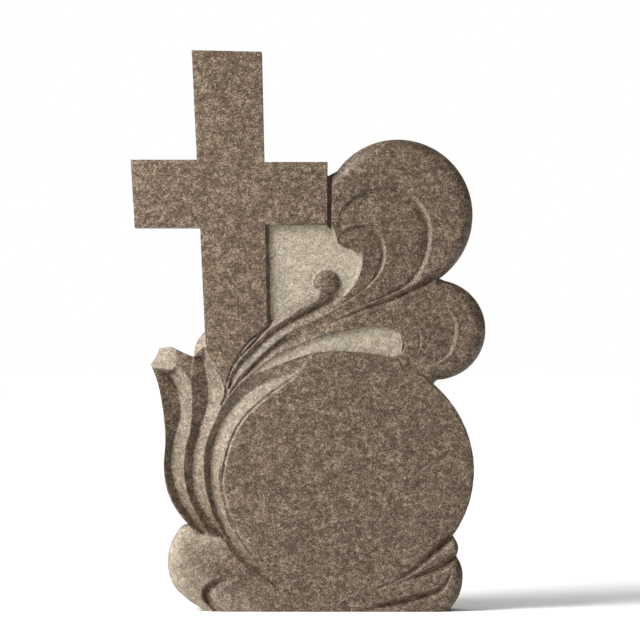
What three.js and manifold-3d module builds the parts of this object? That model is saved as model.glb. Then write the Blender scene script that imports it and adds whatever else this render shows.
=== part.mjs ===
// A carved granite grave monument: one upright slab, cut to the outline of a plain cross with a
// plume of two rounded lobes, three narrow leaves, a blank oval shield and a rolled base, with
// the carving sunk into its front face. Millimetres, +Z up, front towards -Y, origin at the
// middle of the underside.

import * as THREE from 'three';
import { mergeVertices } from 'three/addons/utils/BufferGeometryUtils.js';
import Module from 'manifold-3d';

const wasm = await Module();
wasm.setup();

// Driving dimensions of the slab
const height = 1100;
const thickness = 100;

// Free carving, and where things stand on the slab, keep their share of the height: these points and
// levels are millimetres on a stone of the drawn sizes.
const drawn = {
  height: 1100,
  shield: { width: 495, height: 462, across: 77, level: 277 },
  plume: { radius: 143, across: 174, level: 782 },
  lobe: { radius: 98, across: 250, level: 552 },
};
const share = height / drawn.height;

// The cross, which keeps the full thickness. Its shaft leans a little and narrows to the foot.
const shaftWidthTop = 137;
const shaftWidthFoot = 123;
const shaftAxisTop = -160 * share;
const shaftAxisFoot = -141 * share;
const armLeftEnd = -344 * share;
const armRightEnd = 38 * share;
const armEndLean = 4;
const armHeightLeft = 133;
const armHeightRight = 124;
const armAxisLevel = 819 * share;
const crossTopFall = 3;
const crossFoot = 400 * share;
const crossEdge = 2;

// The oval shield and the two round lobes of the plume
const shieldWidth = 495;
const shieldHeight = 462;
const shieldAcross = drawn.shield.across * share;
const shieldLevel = drawn.shield.level * share;
const shieldEdge = 3;
const plumeRadius = 143 * share;
const plumeGrowth = 11 * share;
const plumeAcross = drawn.plume.across * share;
const plumeLevel = drawn.plume.level * share;
const lobeRadius = 98 * share;
const lobeAcross = drawn.lobe.across * share;
const lobeLevel = drawn.lobe.level * share;
const lobeEdge = 27 * share;

// The base: a cushion at the left, two rolls at the right, all tucked in a little at the ground
const cushionEdge = 32 * share;
const rollEdge = 20 * share;
const smallRollEdge = 10 * share;
const baseTuck = 20;
const leafEdge = 2;

// Depths below the front face, and the shares by which the ground and the stem's groove rise on their way
const groundDepth = 13;
const groundRise = 0.64;
const stripDepth = 9;
const stripRise = 7;
const leafDrop = 4;
const leafEndDrop = 6;
const leafEndDepth = 45;
const tipEndDepth = 40;
const fluteDepth = 15;
const channelDepth = 17;
const channelStart = 3;
const channelLip = 0.5;
const scoopDepth = 11;
const innerScoopDepth = 12;
const innerLipDepth = 4;
const lobeScoopDepth = 9;
const stemDepth = 14;
const stemRise = 0.47;
const stemRound = 0.55;
const stemRoundDepth = 2.5;
const crestDepth = 1;
const ribDepth = 9;
const slotDepth = 20;
const lineDepth = 5;
const leafLineDepth = 7;
const rimLineDepth = 5;
const creaseDepth = 13;

// Widths of fine lines, and the shares of a scoop's width that its steep rim and its hollow take
const rimLineWidth = 8;
const rimLineLap = 0.6;
const outerWall = 0.06;
const middleWall = 0.08;
const lobeWall = 0.07;
const innerLip = 0.84;
const hollow = 0.22;
const hollowDepth = 0.45;

// The side of the shaft slopes down to the sunk ground
const shaftWall = 7;
const shaftWallStart = 3;
const groundFootLevel = 566 * share;
const groundLap = 0.6;

// The slot between the arm's end and the plume widens upwards
const slotTop = 900 * share;
const slotKnee = 862 * share;
const slotWidths = { foot: 6, knee: 8, top: 10 };
const slotFootDrop = 6;

// The bud on the end of the stem
const budRadius = 26 * share;
const budAcross = 36 * share;
const budLevel = 643 * share;
const budRoot = 2;
const budSides = 20;
const budRings = 12;

// How finely curves are cut into straight steps, and how far cutters stand out of the front
const steps = 16;
const shieldSides = 60;
const lift = 6;

// Slivers finer than this are closed up, because a chisel leaves none, and no cut is shallower than this
const leastDetail = 0.04;
const leastDepth = 0.2;

const spline = (list, count) => new THREE.SplineCurve(list).getSpacedPoints(count);
const points = (list) => list.map(([x, z]) => new THREE.Vector2(x * share, z * share));
const curve = (list, count = steps) => spline(points(list), count);
const shieldPoints = (list) => list.map(([x, z]) => new THREE.Vector2(
  shieldAcross + (x - drawn.shield.across) * shieldWidth / drawn.shield.width,
  shieldLevel + (z - drawn.shield.level) * shieldHeight / drawn.shield.height,
));
const shieldCurve = (list, count = steps) => spline(shieldPoints(list), count);
const plumeCurve = (list, count = steps) => spline(list.map(([x, z]) => new THREE.Vector2(
  plumeAcross + (x - drawn.plume.across) * plumeRadius / drawn.plume.radius,
  plumeLevel + (z - drawn.plume.level) * plumeRadius / drawn.plume.radius,
)), count);
const lobeCurve = (list, count = steps) => spline(list.map(([x, z]) => new THREE.Vector2(
  lobeAcross + (x - drawn.lobe.across) * lobeRadius / drawn.lobe.radius,
  lobeLevel + (z - drawn.lobe.level) * lobeRadius / drawn.lobe.radius,
)), count);
const arc = (cx, cz, rx, rz, from, to, count, growth = 0) => {
  const line = [];
  for (let i = 0; i <= count; i += 1) {
    const turn = THREE.MathUtils.degToRad(from + (to - from) * i / count);
    const far = growth * (i / count) ** 2;
    line.push(new THREE.Vector2(cx + (rx + far) * Math.cos(turn), cz + (rz + far) * Math.sin(turn)));
  }
  return line;
};
const swell = (t) => Math.sin(Math.PI * t);
const between = (line, other, part) => line.map((point, i) => point.clone().lerp(other[i], part));

// A closed mesh made ready for joining and cutting
function solid(geometry) {
  geometry.deleteAttribute('normal');
  geometry.deleteAttribute('uv');
  const merged = mergeVertices(geometry, 1e-3);
  return new wasm.Manifold(new wasm.Mesh({
    numProp: 3,
    vertProperties: new Float32Array(merged.attributes.position.array),
    triVerts: new Uint32Array(merged.index.array),
  }));
}

// A plate of an outline, up to a drop below the front, with its front edge rounded. It runs on
// behind the slab by the same rounded edge, which is sawn off with the back.
function plate(outline, edge, rings, drop = 0) {
  const geometry = new THREE.ExtrudeGeometry(new THREE.Shape(outline), {
    depth: thickness - drop - edge,
    bevelEnabled: true,
    bevelThickness: edge,
    bevelSize: edge,
    bevelOffset: -edge,
    bevelSegments: rings,
    curveSegments: 1,
  });
  geometry.translate(0, 0, -thickness);
  return solid(geometry);
}

// A straight-walled block of an outline between two levels
function block(outline, low, high) {
  const geometry = new THREE.ExtrudeGeometry(new THREE.Shape(outline), {
    depth: high - low,
    bevelEnabled: false,
    curveSegments: 1,
  });
  geometry.translate(0, 0, low);
  return solid(geometry);
}

// A cutter whose floor runs across from line to line, each at its own depth along the way
function trough(lines, depths) {
  const count = lines[0].length;
  const across = 2 * lines.length;
  const positions = [];
  for (let i = 0; i < count; i += 1) {
    const t = i / (count - 1);
    lines.forEach((line, k) => positions.push(line[i].x, line[i].y, -Math.max(depths[k](t), leastDepth)));
    lines.toReversed().forEach((line) => positions.push(line[i].x, line[i].y, lift));
  }
  const index = [];
  for (let i = 0; i + 1 < count; i += 1) {
    for (let k = 0; k < across; k += 1) {
      const a = i * across + k;
      const b = i * across + (k + 1) % across;
      index.push(a, b, b + across, a, b + across, a + across);
    }
  }
  const last = (count - 1) * across;
  for (let k = 0; k + 1 < lines.length; k += 1) {
    const [a, b, c, d] = [k, k + 1, across - 2 - k, across - 1 - k];
    index.push(a, c, b, a, d, c, last + a, last + b, last + c, last + a, last + c, last + d);
  }
  const geometry = new THREE.BufferGeometry();
  geometry.setAttribute('position', new THREE.Float32BufferAttribute(positions, 3));
  geometry.setIndex(index);
  const made = solid(geometry);
  return made.volume() < 0 ? solid(flipped(geometry)) : made;
}

function flipped(geometry) {
  const turned = geometry.clone();
  const order = Array.from(turned.index.array);
  for (let i = 0; i < order.length; i += 3) {
    [order[i], order[i + 1]] = [order[i + 1], order[i]];
  }
  turned.setIndex(order);
  return turned;
}

// A line moved to the left of its way, by a distance or by one that follows it
function sideways(line, distance) {
  return line.map((point, i) => {
    const before = line[Math.max(i - 1, 0)];
    const after = line[Math.min(i + 1, line.length - 1)];
    const along = after.clone().sub(before).normalize();
    const far = typeof distance === 'function' ? distance(i / (line.length - 1)) : distance;
    return new THREE.Vector2(point.x - along.y * far, point.y + along.x * far);
  });
}

// A V groove of a width and depth that follow the line
function groove(line, width, depth) {
  const left = sideways(line, (t) => width(t) / 2);
  const right = sideways(line, (t) => -width(t) / 2);
  return trough([left, line, right], [() => 0, depth, () => 0]);
}

// The cross
const shaftSide = (level, side) => {
  const down = (height - level) / height * 2;
  const axis = THREE.MathUtils.lerp(shaftAxisTop, shaftAxisFoot, down);
  return axis + side * THREE.MathUtils.lerp(shaftWidthTop, shaftWidthFoot, down) / 2;
};
const armTop = [armAxisLevel + armHeightLeft / 2, armAxisLevel + armHeightRight / 2];
const armLow = [armAxisLevel - armHeightLeft / 2, armAxisLevel - armHeightRight / 2];
const corner = (x, z) => new THREE.Vector2(x, z);
const crossOutline = [
  corner(shaftSide(height, -1), height),
  corner(shaftSide(armTop[0], -1), armTop[0]),
  corner(armLeftEnd - armEndLean, armTop[0]),
  corner(armLeftEnd + armEndLean, armLow[0]),
  corner(shaftSide(armLow[0], -1), armLow[0]),
  corner(shaftSide(crossFoot, -1), crossFoot),
  corner(shaftSide(crossFoot, 1), crossFoot),
  corner(shaftSide(armLow[1], 1), armLow[1]),
  corner(armRightEnd, armLow[1]),
  corner(armRightEnd, armTop[1]),
  corner(shaftSide(armTop[1], 1), armTop[1]),
  corner(shaftSide(height, 1), height - crossTopFall),
];

// Lines of the carving, each from its upper end down
const stemTop = curve([
  [12, 652], [9, 640], [-6, 619], [-26, 605], [-45, 593], [-61, 579], [-73, 568], [-91, 548], [-114, 522],
  [-134, 500], [-150, 476],
]);
const stemCrest = curve([
  [26, 634], [18, 611], [0, 601], [-16, 593], [-36, 579], [-55, 566], [-71, 556], [-91, 538], [-114, 515],
  [-134, 493], [-150, 470],
]);
const stemFoot = curve([
  [60, 624], [43, 609], [19, 597], [0, 587], [-16, 579], [-36, 567], [-55, 556], [-71, 544], [-91, 526],
  [-114, 501], [-134, 481], [-156, 440],
]);
const rib = curve([
  [82, 606], [43, 587], [11, 571], [-16, 558], [-36, 548], [-55, 534], [-75, 519], [-94, 501], [-114, 481],
  [-134, 462], [-160, 424],
]);
const ribFoot = curve([[40, 552], [-16, 536], [-65, 519], [-104, 483], [-143, 440], [-165, 408]]);
const ribEdge = curve([[37, 546], [-16, 526], [-60, 507], [-104, 474], [-143, 436], [-167, 406]]);
const stripTop = curve([
  [184, 527], [176, 548], [150, 557], [110, 557], [23, 538], [-55, 505], [-114, 462], [-169, 405],
]);
const stripLow = curve([
  [183, 525], [180, 508], [160, 500], [110, 508], [23, 509], [-55, 485], [-114, 450], [-173, 390],
]);
const scoopOuter = plumeCurve([
  [62, 783], [82, 806], [121, 828], [176, 832], [215, 808], [238, 771], [240, 718], [224, 670], [196, 638],
  [150, 616], [95, 595], [40, 568],
], 18);
const scoopMiddle = plumeCurve([
  [60, 736], [84, 754], [118, 757], [145, 735], [152, 700], [144, 668], [120, 638], [86, 613], [52, 594],
  [15, 570],
], 18);
const scoopInner = plumeCurve([
  [58, 722], [70, 714], [86, 709], [97, 698], [99, 685], [93, 660], [80, 637], [63, 616], [38, 598],
  [5, 578],
], 18);
const lobeRim = lobeCurve([
  [262, 622], [277, 595], [290, 570], [292, 545], [285, 515], [268, 495], [238, 480],
]);
const lobeInner = lobeCurve([
  [200, 590], [210, 575], [219, 560], [221, 538], [217, 522], [210, 508], [204, 492],
]);
const leafLeft = shieldCurve([
  [-304, 478], [-294, 440], [-283, 390], [-279, 348], [-281, 320], [-282, 288], [-277, 252], [-267, 222],
  [-234, 172], [-208, 152],
]);
const leafValley = shieldCurve([
  [-274, 466], [-258, 440], [-251, 405], [-252, 375], [-263, 338], [-269, 298], [-264, 258], [-247, 212],
  [-205, 152],
]);
const leafRidge = shieldCurve([
  [-236, 500], [-233, 470], [-230, 435], [-229, 400], [-231, 358], [-242, 314], [-243, 262], [-228, 208],
  [-196, 151],
]);
const tipValley = shieldCurve([
  [-208, 500], [-198, 455], [-197, 410], [-204, 384], [-218, 338], [-226, 286], [-224, 240], [-208, 202],
  [-170, 146],
]);
const tipRight = shieldCurve([
  [-204, 513], [-180, 478], [-168, 450], [-168, 425], [-179, 383], [-200, 331], [-205, 278], [-194, 213],
  [-160, 138],
]);
const channelLeft = shieldCurve([
  [10, 507], [-104, 466], [-147, 429], [-177, 386], [-200, 331], [-205, 278], [-194, 213], [-169, 151],
  [-134, 102], [-63, 49],
]);
const channelValley = shieldCurve([
  [-22, 468], [-76, 451], [-124, 424], [-163, 379], [-186, 327], [-192, 268], [-185, 213], [-167, 168],
  [-138, 122], [-60, 46],
]);
const channelRight = shieldCurve([
  [-24, 466], [-75, 430], [-125, 386], [-156, 332], [-171, 264], [-166, 218], [-148, 165], [-122, 122],
  [-59, 45],
]);
const shieldRim = sideways(channelRight, rimLineWidth / 2 - rimLineLap);

// Plates that make up the slab, each as thick as the slab
const plumeCurl = arc(plumeAcross, plumeLevel, plumeRadius, plumeRadius, 145, -57, 30, plumeGrowth);
const lobeCurl = arc(lobeAcross, lobeLevel, lobeRadius, lobeRadius, 79, -88, 20);
const [plumeStart] = points([[54, 868]]);
const crown = plate([
  ...points([[-110, 400], [-110, 800], [0, 800], [24, 848], [44, 857]]),
  ...plumeCurl.filter((point) => point.x > plumeStart.x || point.y > plumeStart.y),
  ...lobeCurl,
  ...points([[200, 400], [0, 380]]),
], lobeEdge, 4);
const shield = plate(
  arc(shieldAcross, shieldLevel, shieldWidth / 2, shieldHeight / 2,
    0, 360 - 360 / shieldSides, shieldSides - 1),
  shieldEdge, 2,
);
const cross = plate(crossOutline, crossEdge, 1);
const leaves = plate([
  ...shieldCurve([[-232, 168], [-253, 192], [-271, 223], [-280, 254], [-283, 288], [-280, 335], [-283, 380],
    [-290, 427], [-298, 458], [-309, 485]], 22),
  ...shieldPoints([[-299, 498], [-293, 516], [-271, 518], [-241, 504], [-226, 498], [-222, 519], [-216, 534],
    [-204, 548], [-150, 548], [-110, 470], [-40, 440], [-60, 120], [-190, 100]]),
], leafEdge, 1, leafDrop);
const cushion = plate([
  ...curve([[-100, -baseTuck], [-178, -baseTuck], [-205, 1], [-237, 22], [-265, 51], [-276, 90], [-271, 129],
    [-255, 158], [-240, 168], [-215, 168]], 18),
  ...points([[-60, 190], [60, 160], [60, -baseTuck]]),
], cushionEdge, 5);
const roll = plate([
  ...points([[-20, -baseTuck], [-20, 130], [240, 126]]),
  ...curve([[286, 116], [300, 90], [303, 62], [296, 32], [280, 6], [262, -baseTuck]], 11),
], rollEdge, 4);
const smallRoll = plate([
  ...points([[60, 100], [60, 170], [240, 172]]),
  ...curve([[270, 164], [285, 147], [294, 126], [287, 104], [270, 96]], 10),
], smallRollEdge, 3);

// Bodies of the slab joined, then the carving cut in order of depth
const flush = () => 0;
const crest = () => crestDepth;
const groundSide = (t) => groundDepth * (1 - groundRise * t);
const stripSide = (t) => stripDepth - stripRise * t;
const outerFloor = (t) => scoopDepth * swell(0.1 + 0.85 * t);
const innerFloor = (t) => innerScoopDepth * swell(0.1 + 0.9 * t);
const shaftFoot = [armLow[1], groundFootLevel].map((level) => corner(shaftSide(level, 1), level));
const shaftLine = spline(shaftFoot, steps);
const leafFace = () => leafDrop;
const leafFlute = () => leafDrop + fluteDepth;
const cutters = [
  trough(
    [scoopOuter, between(scoopOuter, scoopMiddle, outerWall), between(scoopOuter, scoopMiddle, hollow),
      scoopMiddle, between(scoopMiddle, scoopInner, middleWall), between(scoopMiddle, scoopInner, hollow),
      between(scoopMiddle, scoopInner, innerLip), scoopInner],
    [flush, outerFloor, (t) => crestDepth + hollowDepth * outerFloor(t), crest,
      innerFloor, (t) => crestDepth + hollowDepth * innerFloor(t),
      (t) => crestDepth + innerLipDepth * swell(t), groundSide],
  ),
  trough([lobeRim, between(lobeRim, lobeInner, lobeWall), lobeInner],
    [flush, (t) => lobeScoopDepth * swell(t), flush]),
  trough([stripTop, stripLow], [stripSide, stripSide]),
  trough([shaftLine, sideways(shaftLine, shaftWall)], [() => shaftWallStart, () => groundDepth]),
  trough(
    [stemTop, stemCrest, between(stemCrest, stemFoot, stemRound), stemFoot, rib, ribFoot, ribEdge],
    [groundSide, crest, (t) => stemRoundDepth * (1 + t), (t) => stemDepth * (1 - stemRise * t), crest,
      (t) => crestDepth + ribDepth * swell(t), crest],
  ),
  groove(curve([[-74, 562], [-98, 544], [-118, 527], [-134, 505], [-149, 478], [-160, 446]]),
    (t) => 4 + 4 * t, () => lineDepth),
  groove(curve([[-203, 516], [-181, 480], [-166, 450], [-160, 430], [-170, 404]]),
    (t) => 6 + 10 * t * t, (t) => leafLineDepth * (0.6 + 0.6 * t)),
  trough([leafLeft, leafValley, leafRidge, tipValley, tipRight],
    [leafFace, leafFlute, leafFace, leafFlute, leafFace]),
  trough([channelLeft, channelValley, channelRight],
    [leafFace, (t) => channelStart + channelDepth * swell(0.02 + 0.9 * t), () => channelLip]),
  groove(shieldRim, () => rimLineWidth, (t) => rimLineDepth * swell(0.1 + 0.8 * t)),
  groove(curve([[270, 660], [236, 645], [206, 631], [166, 612], [121, 596], [77, 579], [33, 560]]),
    (t) => 22 - 16 * t, (t) => creaseDepth * (1 - 0.85 * t)),
  groove(curve([[262, 440], [248, 448], [229, 462], [205, 478]]),
    (t) => 18 - 14 * t, (t) => creaseDepth * (0.75 - 0.68 * t)),
  groove(curve([[290, 152], [277, 143], [238, 108], [183, 66], [125, 41]]),
    (t) => 22 - 15 * t, (t) => creaseDepth * (1.05 - 0.9 * t)),
  groove(curve([[300, 112], [287, 106], [252, 84], [180, 57], [150, 52]]),
    (t) => 24 - 14 * t, (t) => creaseDepth * (1.2 - 1.05 * t)),
  groove(curve([[284, 84], [277, 68], [262, 46], [236, 34], [189, 20], [100, 2]]),
    (t) => 4 + 16 * swell(t), (t) => creaseDepth * swell(t)),
  groove(curve([[-150, 60], [-176, 57], [-196, 44], [-200, 28], [-190, 10], [-172, -4]]),
    () => 20, (t) => creaseDepth * swell(0.08 + 0.7 * t)),
];
const [groundCorner] = points([[50, 750]]);
const budFoot = points([[46, 619], [23, 631]]);
const ground = block([
  corner(shaftSide(armLow[1], 1) + shaftWall - groundLap, armLow[1]),
  corner(armRightEnd + slotWidths.foot, armLow[1]),
  groundCorner,
  ...scoopInner.filter((point) => point.y > budLevel - budRadius),
  ...budFoot,
  ...stemTop.filter((point) => point.x > shaftSide(point.y, 1) + shaftWall),
  corner(shaftSide(groundFootLevel, 1) + shaftWall - groundLap, groundFootLevel),
], -groundDepth, lift);
const slot = block([
  corner(armRightEnd, slotTop),
  corner(armRightEnd, armLow[1]),
  corner(armRightEnd + slotWidths.foot, armLow[1] - slotFootDrop),
  corner(armRightEnd + slotWidths.knee, slotKnee),
  corner(armRightEnd + slotWidths.top, slotTop),
], -slotDepth, lift);

// The bud on the end of the stem stands up from the sunk ground
const bud = new THREE.SphereGeometry(budRadius, budSides, budRings);
bud.scale(1, 1, (groundDepth + budRoot) / budRadius);
bud.translate(budAcross, budLevel, -groundDepth - budRoot);

// Leaf ends turn back: the stone above these lines slopes away
const leafEnd = trough(
  [curve([[-316, 474], [-300, 478], [-268, 474], [-246, 465], [-230, 452]], 6),
    curve([[-326, 540], [-300, 540], [-268, 540], [-240, 530], [-224, 520]], 6)],
  [(t) => leafDrop + leafEndDrop * (1 - t), () => leafEndDepth],
);
const tipEnd = trough(
  [curve([[-228, 496], [-212, 514], [-200, 520]], 4), curve([[-236, 556], [-222, 562], [-204, 566]], 4)],
  [() => 2 * leafDrop, () => tipEndDepth],
);

let stone = crown.add(shield).add(leaves).add(cushion).add(roll).add(smallRoll);
stone = stone.subtract(leafEnd).subtract(tipEnd);
stone = stone.add(cross);
for (const cutter of cutters) {
  stone = stone.subtract(cutter);
}
stone = stone.subtract(ground).subtract(slot).add(solid(bud));

// The back and the underside are sawn flat
const reach = 2 * height;
const rectangle = (low, high) => [
  corner(-reach, low), corner(reach, low), corner(reach, high), corner(-reach, high),
];
stone = stone.subtract(block(rectangle(-reach, reach), -reach, -thickness));
stone = stone.subtract(block(rectangle(-reach, 0), -reach, reach));
stone = stone.simplify(leastDetail);

const stele = new THREE.BufferGeometry();
const mesh = stone.getMesh();
stele.setAttribute('position', new THREE.BufferAttribute(new Float32Array(mesh.vertProperties), 3));
stele.setIndex(new THREE.BufferAttribute(new Uint32Array(mesh.triVerts), 1));
stele.rotateX(Math.PI / 2);
stele.translate(0, -thickness / 2, 0);
stele.computeVertexNormals();

const granite = new THREE.MeshStandardMaterial({ color: 0x766555, roughness: 0.45, metalness: 0 });
const monument = new THREE.Group();
const slab = new THREE.Mesh(stele, granite);
slab.name = 'stele';
monument.add(slab);

export default monument;
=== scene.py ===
"""A carved granite grave monument, standing in a pale studio.

The slab is drawn face on, in millimetres: x to the right, z up from the ground, and depth into
the stone from its front face. Plates give the outline and the rounded edges, troughs give the
carving, and the stone's surface is the deeper of the two at each place.
"""

import math

import bmesh
import bpy
import numpy as np
from bpy.props import FloatProperty, FloatVectorProperty, IntProperty, PointerProperty
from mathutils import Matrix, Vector, geometry
from mathutils.bvhtree import BVHTree


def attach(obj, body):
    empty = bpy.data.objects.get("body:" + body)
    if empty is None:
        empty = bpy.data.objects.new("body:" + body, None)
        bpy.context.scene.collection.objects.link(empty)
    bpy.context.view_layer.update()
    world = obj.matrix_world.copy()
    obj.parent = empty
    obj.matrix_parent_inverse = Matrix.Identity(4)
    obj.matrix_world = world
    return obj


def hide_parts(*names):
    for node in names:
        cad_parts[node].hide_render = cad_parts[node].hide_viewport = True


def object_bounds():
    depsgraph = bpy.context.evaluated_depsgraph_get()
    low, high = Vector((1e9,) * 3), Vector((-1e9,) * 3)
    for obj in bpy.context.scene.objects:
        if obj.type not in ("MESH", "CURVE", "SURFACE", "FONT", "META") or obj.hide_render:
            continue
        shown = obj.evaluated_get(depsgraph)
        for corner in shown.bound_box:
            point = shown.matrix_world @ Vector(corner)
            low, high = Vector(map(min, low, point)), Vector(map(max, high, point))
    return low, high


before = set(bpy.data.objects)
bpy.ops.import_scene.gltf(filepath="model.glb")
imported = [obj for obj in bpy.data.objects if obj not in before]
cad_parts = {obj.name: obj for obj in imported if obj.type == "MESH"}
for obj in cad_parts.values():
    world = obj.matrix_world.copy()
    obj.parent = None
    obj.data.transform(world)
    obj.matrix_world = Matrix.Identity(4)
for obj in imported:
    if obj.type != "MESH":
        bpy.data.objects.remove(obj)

bl_info = {
    "name": "Grave Monument",
    "version": (1, 0, 0),
    "blender": (4, 5, 0),
    "location": "View3D > Sidebar > Monument",
    "description": "A carved granite grave monument in a pale studio",
    "category": "Add Mesh",
}

MM = 0.001
CAD_LOW, CAD_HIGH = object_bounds()
HEIGHT = CAD_HIGH.z / MM
THICKNESS = 2 * CAD_HIGH.y / MM

# The cross
SHAFT_WIDTH_TOP = 137
SHAFT_WIDTH_FOOT = 123
SHAFT_AXIS_TOP = -160
SHAFT_AXIS_FOOT = -141
ARM_LEFT_END = -344
ARM_RIGHT_END = 38
ARM_END_LEAN = 4
ARM_HEIGHT_LEFT = 133
ARM_HEIGHT_RIGHT = 124
ARM_AXIS_LEVEL = 819
CROSS_TOP_FALL = 3
CROSS_FOOT = 400
CROSS_EDGE = 2

# The shield, the two lobes of the plume, the leaves and the base
SHIELD_CENTRE = (77, 277)
SHIELD_RADII = (247.5, 231)
SHIELD_EDGE = 3
PLUME_CENTRE = (174, 782)
PLUME_RADIUS = 143
PLUME_GROWTH = 11
PLUME_TURN = (145, -57)
PLUME_START = (54, 868)
BEHIND_REACH = 6
LOBE_CENTRE = (250, 552)
LOBE_RADIUS = 98
LOBE_TURN = (79, -88)
LOBE_EDGE = 27
LEAF_EDGE = 2
LEAF_DROP = 4
CUSHION_EDGE = 32
ROLL_EDGE = 20
SMALL_ROLL_EDGE = 10
BASE_TUCK = 20

# Depths and widths of the carving, and places across a scoop as shares of its width
GROUND_DEPTH = 13
GROUND_RISE = 0.64
GROUND_FOOT = 566
GROUND_LAP = 0.6
SHAFT_WALL = 7
SHAFT_WALL_START = 3
STRIP_DEPTH = 9
STRIP_RISE = 7
STRIP_RIM_WIDTH = 6
STRIP_RIM_DEPTH = 4
FLUTE_DEPTH = 15
RIDGE_DEPTH = 0.6
RIDGE_WIDTH = 3
CHANNEL_DEPTH = 17
CHANNEL_START = 3
CHANNEL_LIP = 0.5
SCOOP_DEPTH = 11
INNER_SCOOP_DEPTH = 12
INNER_LIP_DEPTH = 4
LOBE_SCOOP_DEPTH = 9
CREST_DEPTH = 1
OUTER_WALL = 0.06
MIDDLE_WALL = 0.08
LOBE_WALL = 0.07
INNER_LIP = 0.84
HOLLOW = 0.22
HOLLOW_DEPTH = 0.45
HOLLOW_GAIN = 0.4
LOBE_LINE_DEPTH = 3
LOBE_LINE_WIDTH = 5
STEM_DEPTH = 14
STEM_RISE = 0.47
STEM_ROUND = 0.55
STEM_ROUND_DEPTH = 2.5
RIB_DEPTH = 9
SLOT_DEPTH = 20
SLOT_WIDTHS = (6, 8, 10)
SLOT_FOOT_DROP = 6
LINE_DEPTH = 5
LINE_WIDTH = 4
LEAF_LINE_DEPTH = 7
LEAF_LINE_WIDTHS = (6, 16)
LEAF_END_FALL = 6
LEAF_END_DEPTH = 45
LEAF_TIP_FALL = 4
LEAF_TIP_DEPTH = 40
RIM_LINE_DEPTH = 5
RIM_LINE_WIDTH = 8
RIM_LINE_LAP = 0.6
CREASE_DEPTH = 13
BUD_CENTRE = (36, 643)
BUD_RADIUS = 26

# How the finish changes over the stone, from polished to frosted; it also holds painted highlights on lit
# facets, a painted sheen on the cushion and painted shade on the leaf end
POLISHED = 0.0
DULLED = 0.1
# The honed level, also used as the painted highlight on lit walls and facets
HONED_AND_HIGHLIGHT = 0.26
SAWN = 0.35
FROSTED = 1.0
# A pale painted sheen on the cushion's left end, in place of the light's reflection in the polish
CUSHION_PAINTED_SHEEN = 0.75
CUSHION_SHEEN_REACH = 80
CUSHION_SHEEN_END = -60
CUSHION_SHEEN_LENGTH = 120
# Painted highlight on the inner lip of the plume's scoops
LIP_HIGHLIGHT = 0.6
# Painted highlight on the leaves' ridge crests
RIDGE_HIGHLIGHT = 0.6
# Weaker painted highlights on the lit facets of the rib and the stem
RIB_HIGHLIGHT = 0.4 * HONED_AND_HIGHLIGHT
STEM_HIGHLIGHT = 0.2 * HONED_AND_HIGHLIGHT
# A stronger painted highlight on the lit half of the channel
CHANNEL_HIGHLIGHT = 1.6
LEAF_END_FINISH = 0.85
# Painted shade on the leaf end: how its rough colour darkens along it, and where it turns to dulled brown
LEAF_END_PAINTED_SHADING = 0.2
LEAF_END_SHADE_START = 0.62
LEAF_TIP_FINISH = 0.6
# How quickly the painted highlight on the scoop walls fades in and out
HIGHLIGHT_FADE = 0.08
# How soon the painted highlight of the flutes fades out towards their lower ends
FLUTE_HIGHLIGHT_FADE = 3.2

# How finely curves are drawn, and how points are laid over the front
OUTLINE_STEP = 3.2
CARVING_STEPS = 80
SPLINE_SAMPLES = 400
ROW_GAPS = (-2.4, -0.9, 0.0, 0.9, 2.4)
RING_TURNS = (30, 45, 60, 75, 90)
RIM_TURN = 15
OFF_STONE = 1e3
NEARBY = 5
SHORTEST_STEP = 0.7
LEAST_BEND = 0.25
LEAST_STEP = 3
ROW_SPACING = 0.8
RING_SPACING = 1.0
RING_SHOWS = 0.4
FILL_SPACING = 0.7
FILL_MARGIN = 1.2
LEAST_SLOPE = 0.05
LEAST_FINISH = 0.05
BUD_SIDES = 24
BUD_RINGS = (0.2, 0.4, 0.6, 0.75, 0.88, 0.97)

# The rim of the front face, the side wall, the sawn back and the wear
ON_EDGE = 0.05
ON_GROUND = 0.01
RIM_SHIFTS = (0.35, 1.1)
WALL_GAP = 0.3
SAWN_WALL_GAP = 0.5
WALL_ROWS = (0.0, 0.12, 0.4, 0.7, 1.0)
REAR_FOOT = 0.5
REAR_SPACING = 0.045
REAR_MARGIN = 12
SHARP_ANGLE = 48
PROUD = 1.5
CHIPS_ABOVE = 3
CHIP_START = 0.56
CHIP_GAIN = 5.0

# The granite, with sizes and scales in widths of its larger crystals
CRYSTAL_SIZES = (1.9, 0.8, 0.3)
CRYSTAL_WEIGHTS = (0.15, 0.17, 0.42)
WANDER_SCALE = 1.4
WANDER = 0.9
SPECK_SCALE = 2.2
SPECK_WEIGHT = 0.06
CLUSTER_SCALE = 0.55
CLUSTER_WEIGHT = 0.2
PIT_SCALE = 3.2
MIDDLE_TONE = 0.5
TONES = (0.22, 0.38, 0.5, 0.64, 0.8)
ROUGHNESS_SPREAD = 0.12
BUMP_STRENGTH = 0.7

# The granite's clouds and the heights of its bumps, in metres
CLOUD_SCALE = 9.0
CLOUD_WEIGHT = 0.12
CRYSTAL_HEIGHT = 0.00006
PIT_HEIGHT = 0.0006

# The floor, and where the light comes from, seen from the stone
FLOOR_COLOUR = (0.98, 0.98, 0.97, 1.0)
FLOOR_ROUGHNESS = 0.9
FLOOR_GLOSS = 0.1
KEY_SIDE = (-0.66, -0.48, 0.58)
SOFTBOX_PLACE = (-1.15, -0.65, 1.1)
SOFTBOX_SIZE = 0.9
SOFTBOX_AIM = (0.0, 0.0, 0.5)
CHUNK = 20000


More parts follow.
